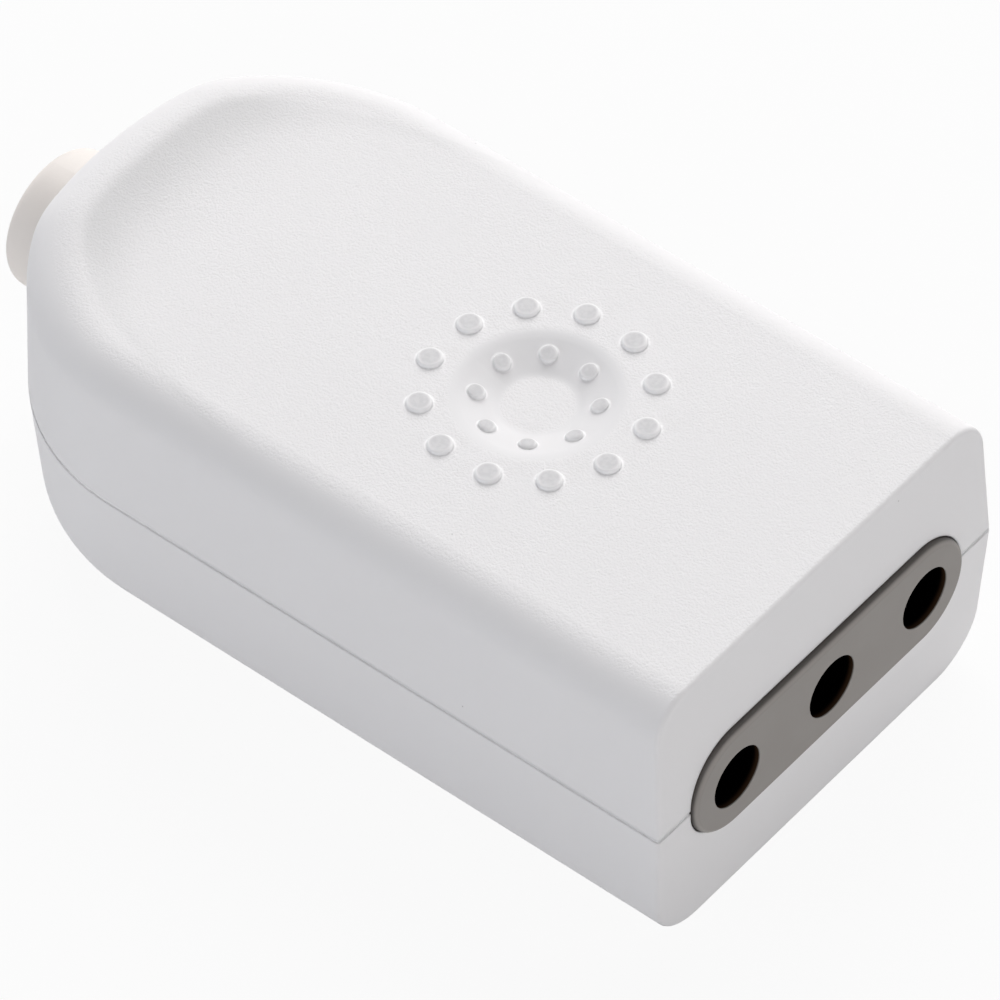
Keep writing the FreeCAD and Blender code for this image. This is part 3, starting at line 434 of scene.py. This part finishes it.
def block_plastic():
    """Grey matt plastic with painted shade on its rim and a painted highlight line, and pin holes with
    painted shade that darkens quickly inwards.
    """
    nodes = material_nodes("grey_block")
    x, y, z = nodes.split(nodes.place())
    depth = nodes.math("SUBTRACT", y, FACE_Y)
    cloud = nodes.noise(BLOCK_CLOUD, CLOUD_DETAIL)
    colour = nodes.mix(cloud, *BLOCK_COLOURS)
    # Painted highlight line on the rounded edge, and painted shade on the face's side in the gap to the
    # shell
    line = nodes.times(nodes.ramp(depth, *LINE_FRONT, 0.0, LINE_HIGHLIGHT_STRENGTH), nodes.fall(depth, *LINE_BACK))
    colour = nodes.mix(line, colour, FACE_HIGHLIGHT_LINE)
    side = nodes.ramp(depth, *SIDE_FRONT, 0.0, SIDE_SHADE_STRENGTH)
    colour = nodes.mix(side, colour, FACE_SIDE_SHADE)
    from_pin = nodes.math("PINGPONG", nodes.math("ABSOLUTE", x), PIN_PITCH / 2)
    reach = nodes.length(from_pin, nodes.math("SUBTRACT", z, PARTING_Z))
    # Painted shade inside the pin holes, dark brown at the rim and black deeper in
    inside = nodes.fall(reach, *HOLE_OUTER)
    rim = nodes.times(inside, nodes.ramp(depth, *HOLE_RIM_FRONT))
    colour = nodes.mix(rim, colour, HOLE_RIM_SHADE)
    deep = nodes.times(inside, nodes.ramp(depth, *HOLE_DEEP_FRONT))
    colour = nodes.mix(deep, colour, HOLE_DEPTH_SHADE)
    nodes.shader(
        Base_Color=colour,
        Roughness=nodes.ramp(cloud, *CLOUD_RANGE, *BLOCK_ROUGHNESS),
        Specular_IOR_Level=nodes.ramp(rim, 0.0, 1.0, BLOCK_SPECULAR, 0.0),
        Normal=smooth_surface(nodes, BLOCK_GRAIN, BLOCK_SOFTNESS),
    )
    return nodes.owner


def bush_plastic():
    """Cream satin plastic with a very fine grain."""
    nodes = material_nodes("cream_bush")
    cloud = nodes.noise(BUSH_CLOUD, CLOUD_DETAIL)
    nodes.shader(
        Base_Color=nodes.mix(cloud, *BUSH_COLOURS),
        Roughness=nodes.ramp(cloud, *CLOUD_RANGE, *BUSH_ROUGHNESS),
        Specular_IOR_Level=SATIN_SPECULAR,
        Normal=smooth_surface(nodes, BUSH_GRAIN, BUSH_SOFTNESS),
    )
    return nodes.owner


def plain_metal(name, colours, roughness):
    """Metal with a fine uneven surface and a little tarnish."""
    nodes = material_nodes(name)
    cloud = nodes.noise(METAL_CLOUD, METAL_CLOUD_DETAIL)
    nodes.shader(
        Base_Color=nodes.mix(cloud, *colours),
        Metallic=1.0,
        Roughness=nodes.ramp(cloud, *METAL_CLOUD_RANGE, *roughness),
        Normal=nodes.bump(nodes.noise(METAL_GRAIN, METAL_GRAIN_DETAIL), METAL_GRAIN_DEPTH),
    )
    return nodes.owner


def dress_nodes():
    """Give every CAD node its material."""
    grey = block_plastic()
    brass = plain_metal("brass", BRASS_COLOURS, BRASS_ROUGHNESS)
    steel = plain_metal("zinc_steel", STEEL_COLOURS, STEEL_ROUGHNESS)
    finishes = {
        "upper_shell": shell_plastic("white_shell_top", is_upper=True),
        "lower_shell": shell_plastic("white_shell_base", is_upper=False),
        "socket_block": grey,
        "retaining_plate": grey,
        "cable_bush": bush_plastic(),
    }
    for node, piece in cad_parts.items():
        metal = brass if node.startswith("contact") or node == "terminal_screws" else steel
        piece.data.materials.clear()
        piece.data.materials.append(finishes.get(node, metal))


# Stage

def add_object(name, data):
    holder = bpy.data.objects.new(name, data)
    bpy.context.collection.objects.link(holder)
    return holder


def direction(turn, height):
    """A direction by its turn from +X towards +Y and its height from level, in radians."""
    level = math.cos(height)
    return Vector((math.cos(turn) * level, math.sin(turn) * level, math.sin(height)))


def seen_directly(nodes):
    """1 for rays from the camera or by way of gloss or glass, and 0 for light that falls on things."""
    path = nodes.add("LightPath").outputs
    share = path["Is Camera Ray"]
    for name in ("Is Glossy Ray", "Is Transmission Ray"):
        share = nodes.math("MAXIMUM", share, path[name])
    return share


def make_floor():
    """A floor a hair below the base: white to the eye, with a small share that takes the shadow."""
    half = FLOOR_SIZE / 2
    sides = ((-half, -half), (half, -half), (half, half), (-half, half))
    mesh = bpy.data.meshes.new("floor")
    mesh.from_pydata([(x, y, -FLOOR_DROP) for x, y in sides], [], [(0, 1, 2, 3)])
    floor = add_object("floor", mesh)
    nodes = material_nodes("pale_floor")
    matt = nodes.add("BsdfDiffuse")
    nodes.feed(matt.inputs["Color"], FLOOR_COLOUR)
    white = nodes.add("Emission")
    nodes.feed(white.inputs["Strength"], BACKGROUND)
    share = nodes.times(seen_directly(nodes), 1 - FLOOR_SHADOW_SHARE)
    nodes.show(nodes.fill(nodes.add("MixShader"), share, matt.outputs[0], white.outputs[0]))
    mesh.materials.append(nodes.owner)


def make_world():
    """Even sky light, and white where the camera sees past the floor."""
    world = bpy.data.worlds.new("studio")
    nodes = Nodes(world, "OutputWorld")
    sky = nodes.add("Background")
    nodes.feed(sky.inputs["Color"], WHITE)
    nodes.feed(sky.inputs["Strength"], nodes.ramp(seen_directly(nodes), 0.0, 1.0, SKY, BACKGROUND))
    nodes.show(sky)
    bpy.context.scene.world = world


def make_lamp(name, turn, height, size, power, colour):
    """A soft round lamp that points at the part."""
    lamp = bpy.data.lights.new(name, "AREA")
    lamp.shape = "DISK"
    lamp.size = size
    lamp.energy = power
    lamp.color = colour
    away = direction(math.radians(turn), math.radians(height))
    holder = add_object(name, lamp)
    holder.location = LAMP_AIM + away * LAMP_DISTANCE
    holder.rotation_euler = away.to_track_quat("Z", "Y").to_euler()


def make_camera():
    """The photograph's view: turned to the front left, high, with a long lens."""
    back = direction(CAMERA_TURN - math.pi / 2, CAMERA_HEIGHT)
    level_right = Vector((math.cos(CAMERA_TURN), math.sin(CAMERA_TURN), 0))
    level_up = back.cross(level_right)
    right = math.cos(CAMERA_ROLL) * level_right + math.sin(CAMERA_ROLL) * level_up
    up = back.cross(right)
    camera = bpy.data.cameras.new("camera")
    camera.sensor_width = SENSOR
    camera.lens = LENS
    camera.clip_end = CAMERA_FAR_END
    holder = add_object("camera", camera)
    place = CAMERA_AIM + back * CAMERA_DISTANCE - right * CAMERA_SIDESTEP - up * CAMERA_RISE
    holder.matrix_world = Matrix.Translation(place) @ Matrix((right, up, back)).transposed().to_4x4()
    bpy.context.scene.camera = holder


dress_nodes()
make_floor()
make_world()
for lamp_name, settings in LAMPS.items():
    make_lamp(lamp_name, **settings)
make_camera()
bpy.context.scene.view_settings.view_transform = "Standard"
